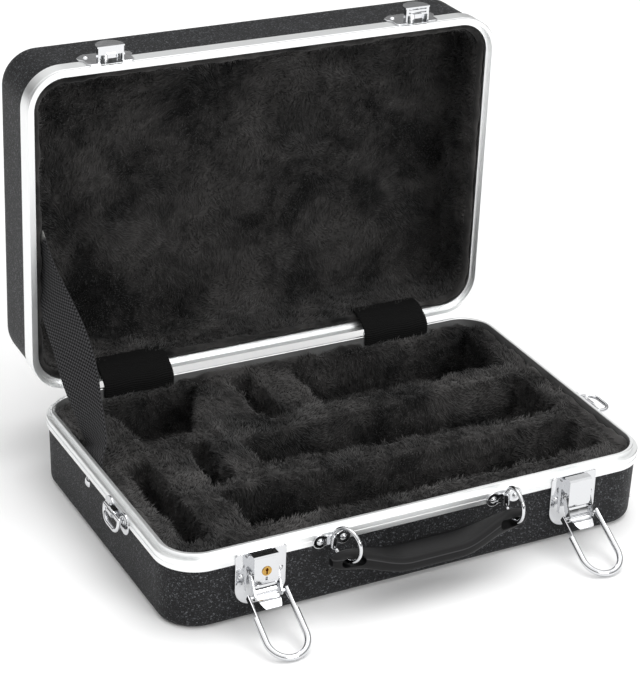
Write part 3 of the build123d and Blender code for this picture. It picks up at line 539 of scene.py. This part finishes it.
def webbing(name, one_edge, other_edge, columns, thickness, relief, material):
    """A closed strip of webbing between two edge lines, in metres, with its weave mapped in metres."""
    rows = len(one_edge)
    middle = (one_edge + other_edge) / 2
    along = np.gradient(middle, axis=0)
    side = other_edge - one_edge
    width = np.linalg.norm(side, axis=1).mean()
    facing = np.cross(side, along)
    facing /= np.linalg.norm(facing, axis=1)[:, None]
    run = np.concatenate([[0], np.cumsum(np.linalg.norm(np.diff(middle, axis=0), axis=1))])
    made = bmesh.new()
    weave = made.loops.layers.uv.new("weave")
    rings = []
    for r in range(rows):
        ring = []
        for way in (1, -1):
            for c in range(columns + 1):
                u = c / columns if way > 0 else 1 - c / columns
                edge = min(1.0, SELVEDGE + 14 * min(u, 1 - u))
                lift = way * (thickness / 2 * edge + relief(u * width, run[r]) * (way > 0))
                at = one_edge[r] + side[r] * u + facing[r] * lift
                ring.append((made.verts.new(at), (u * width, run[r])))
        rings.append(ring)
    count = len(rings[0])
    for r in range(rows - 1):
        for k in range(count):
            after = (k + 1) % count
            corners = (rings[r][k], rings[r][after], rings[r + 1][after], rings[r + 1][k])
            face = made.faces.new([v for v, _ in corners])
            for loop, (_, place) in zip(face.loops, corners):
                loop[weave].uv = place
    for ring in (rings[0], rings[-1]):
        face = made.faces.new([v for v, _ in ring])
        for loop, (_, place) in zip(face.loops, ring):
            loop[weave].uv = place
    bmesh.ops.recalc_face_normals(made, faces=made.faces)
    for face in made.faces:
        face.smooth = True
    mesh = bpy.data.meshes.new(name)
    made.to_mesh(mesh)
    made.free()
    piece = bpy.data.objects.new(name, mesh)
    bpy.context.scene.collection.objects.link(piece)
    mesh.materials.append(material)
    return piece, width, run[-1]


COVER_RIB, COVER_RIB_DEEP, COVER_THICK = 0.0016, 0.00025, 0.0014


def cover_rib(across, along):
    """The ribs' height: they run along the hinge and waver a little."""
    return COVER_RIB_DEEP * math.sin(2 * math.pi * (along + 0.0004 * math.sin(across * 210)) / COVER_RIB)


# The cover's line over the hinge gap, from the bottom's edge to the lid's, in millimetres.
COVER_LINE = ((117.4, 51.0), (117.5, 58.8), (120.6, 63.8), (127.0, 67.9), (132.8, 70.7), (143.0, 71.3))
for side in ("left", "right"):
    low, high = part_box("hinge_cover_" + side)
    line = smooth_line([(0, y / 1000, z / 1000) for y, z in COVER_LINE], 121)
    near = line + np.array((low[0], 0, 0))
    far = line + np.array((high[0], 0, 0))
    cover, wide, long = webbing("hinge_webbing_" + side, near, far, columns=40, thickness=COVER_THICK,
                                relief=cover_rib, material=cover_webbing)
    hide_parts("hinge_cover_" + side)
    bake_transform(cover)


# ------------------------------------------------------------------ stay strap
# Charcoal nylon webbing, 38 mm wide, that stops the lid. It is riveted inside the bottom's left wall
# and fixed to the lid's, bows inwards and twists on the way, and its cut end in the lid has frayed
# pale over its last 5 mm.
strap_webbing, tree = new_material("woven_charcoal_webbing")
weave = add_node(tree, "ShaderNodeSeparateXYZ",
                 Vector=add_node(tree, "ShaderNodeUVMap", {"uv_map": "weave"}).outputs["UV"])
STRAP_WEFT, STRAP_WARP = 0.0034, 0.0030  # half as coarse again as the real weave, so that it shows
over = []
for axis, pitch in (("X", STRAP_WEFT), ("Y", STRAP_WARP)):
    phase = add_node(tree, "ShaderNodeMath", {"operation": "MULTIPLY"}, i0=weave.outputs[axis],
                     i1=2 * math.pi / pitch)
    over.append(add_node(tree, "ShaderNodeMath", {"operation": "SINE"}, i0=phase.outputs[0]).outputs[0])
# The knuckles of the weave are painted pale and the hollows between near black: painted highlight and
# painted shade over the one charcoal colour.
knuckle = add_node(tree, "ShaderNodeMath", {"operation": "MULTIPLY"}, i0=over[0], i1=over[1])
tone = add_node(tree, "ShaderNodeMapRange", Value=knuckle.outputs[0], From_Min=-0.6, From_Max=0.9)
weave_light_and_shade = add_node(tree, "ShaderNodeValToRGB", Fac=tone.outputs["Result"])
weave_light_and_shade.color_ramp.elements[0].color = linear("#050505")
weave_light_and_shade.color_ramp.elements[1].color = linear("#4d4d4f")
bump = add_node(tree, "ShaderNodeBump", Strength=0.9, Distance=0.0005, Height=knuckle.outputs[0])
FRAY_ENDS, FRAY_FULL = 0.0065, 0.0035
frayed = add_node(tree, "ShaderNodeMapRange", Value=weave.outputs["Y"], From_Min=FRAY_ENDS,
                  From_Max=FRAY_FULL)
pale = add_node(tree, "ShaderNodeMix", {"data_type": "RGBA"}, Factor=frayed.outputs["Result"],
                i6=weave_light_and_shade.outputs["Color"], i7=linear("#8a8a88"))
finish_material(tree, Base_Color=pale.outputs[2], Roughness=0.85, Specular_IOR_Level=0.2,
                Normal=bump.outputs["Normal"])

# Its two edges from the lid down to the bottom, in millimetres.
STRAP_THICK = 0.0015
STRAP_FRONT = ((-178.3, 133, 188), (-176.4, 115.5, 168.2), (-171.5, 99, 150), (-167.5, 80, 131.5),
               (-166.5, 62, 111), (-170, 44, 93), (-175.5, 21, 73.5), (-182.3, 12, 62), (-182.3, 7, 44))
STRAP_REAR = ((-178.3, 160, 161.2), (-179.3, 142.5, 142.5), (-182.5, 124, 123), (-183, 104, 106.5),
              (-182.5, 87.5, 87.8), (-179.5, 71, 69), (-178, 53.5, 54), (-182.3, 47.6, 51.2),
              (-182.3, 43, 32))
one_edge = smooth_line([tuple(c / 1000 for c in point) for point in STRAP_FRONT], 141)
other_edge = smooth_line([tuple(c / 1000 for c in point) for point in STRAP_REAR], 141)
strap, wide, long = webbing("stay_strap_webbing", one_edge, other_edge, columns=32, thickness=STRAP_THICK,
                            relief=lambda across, along: 0.0, material=strap_webbing)
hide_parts("stay_strap")
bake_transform(strap)
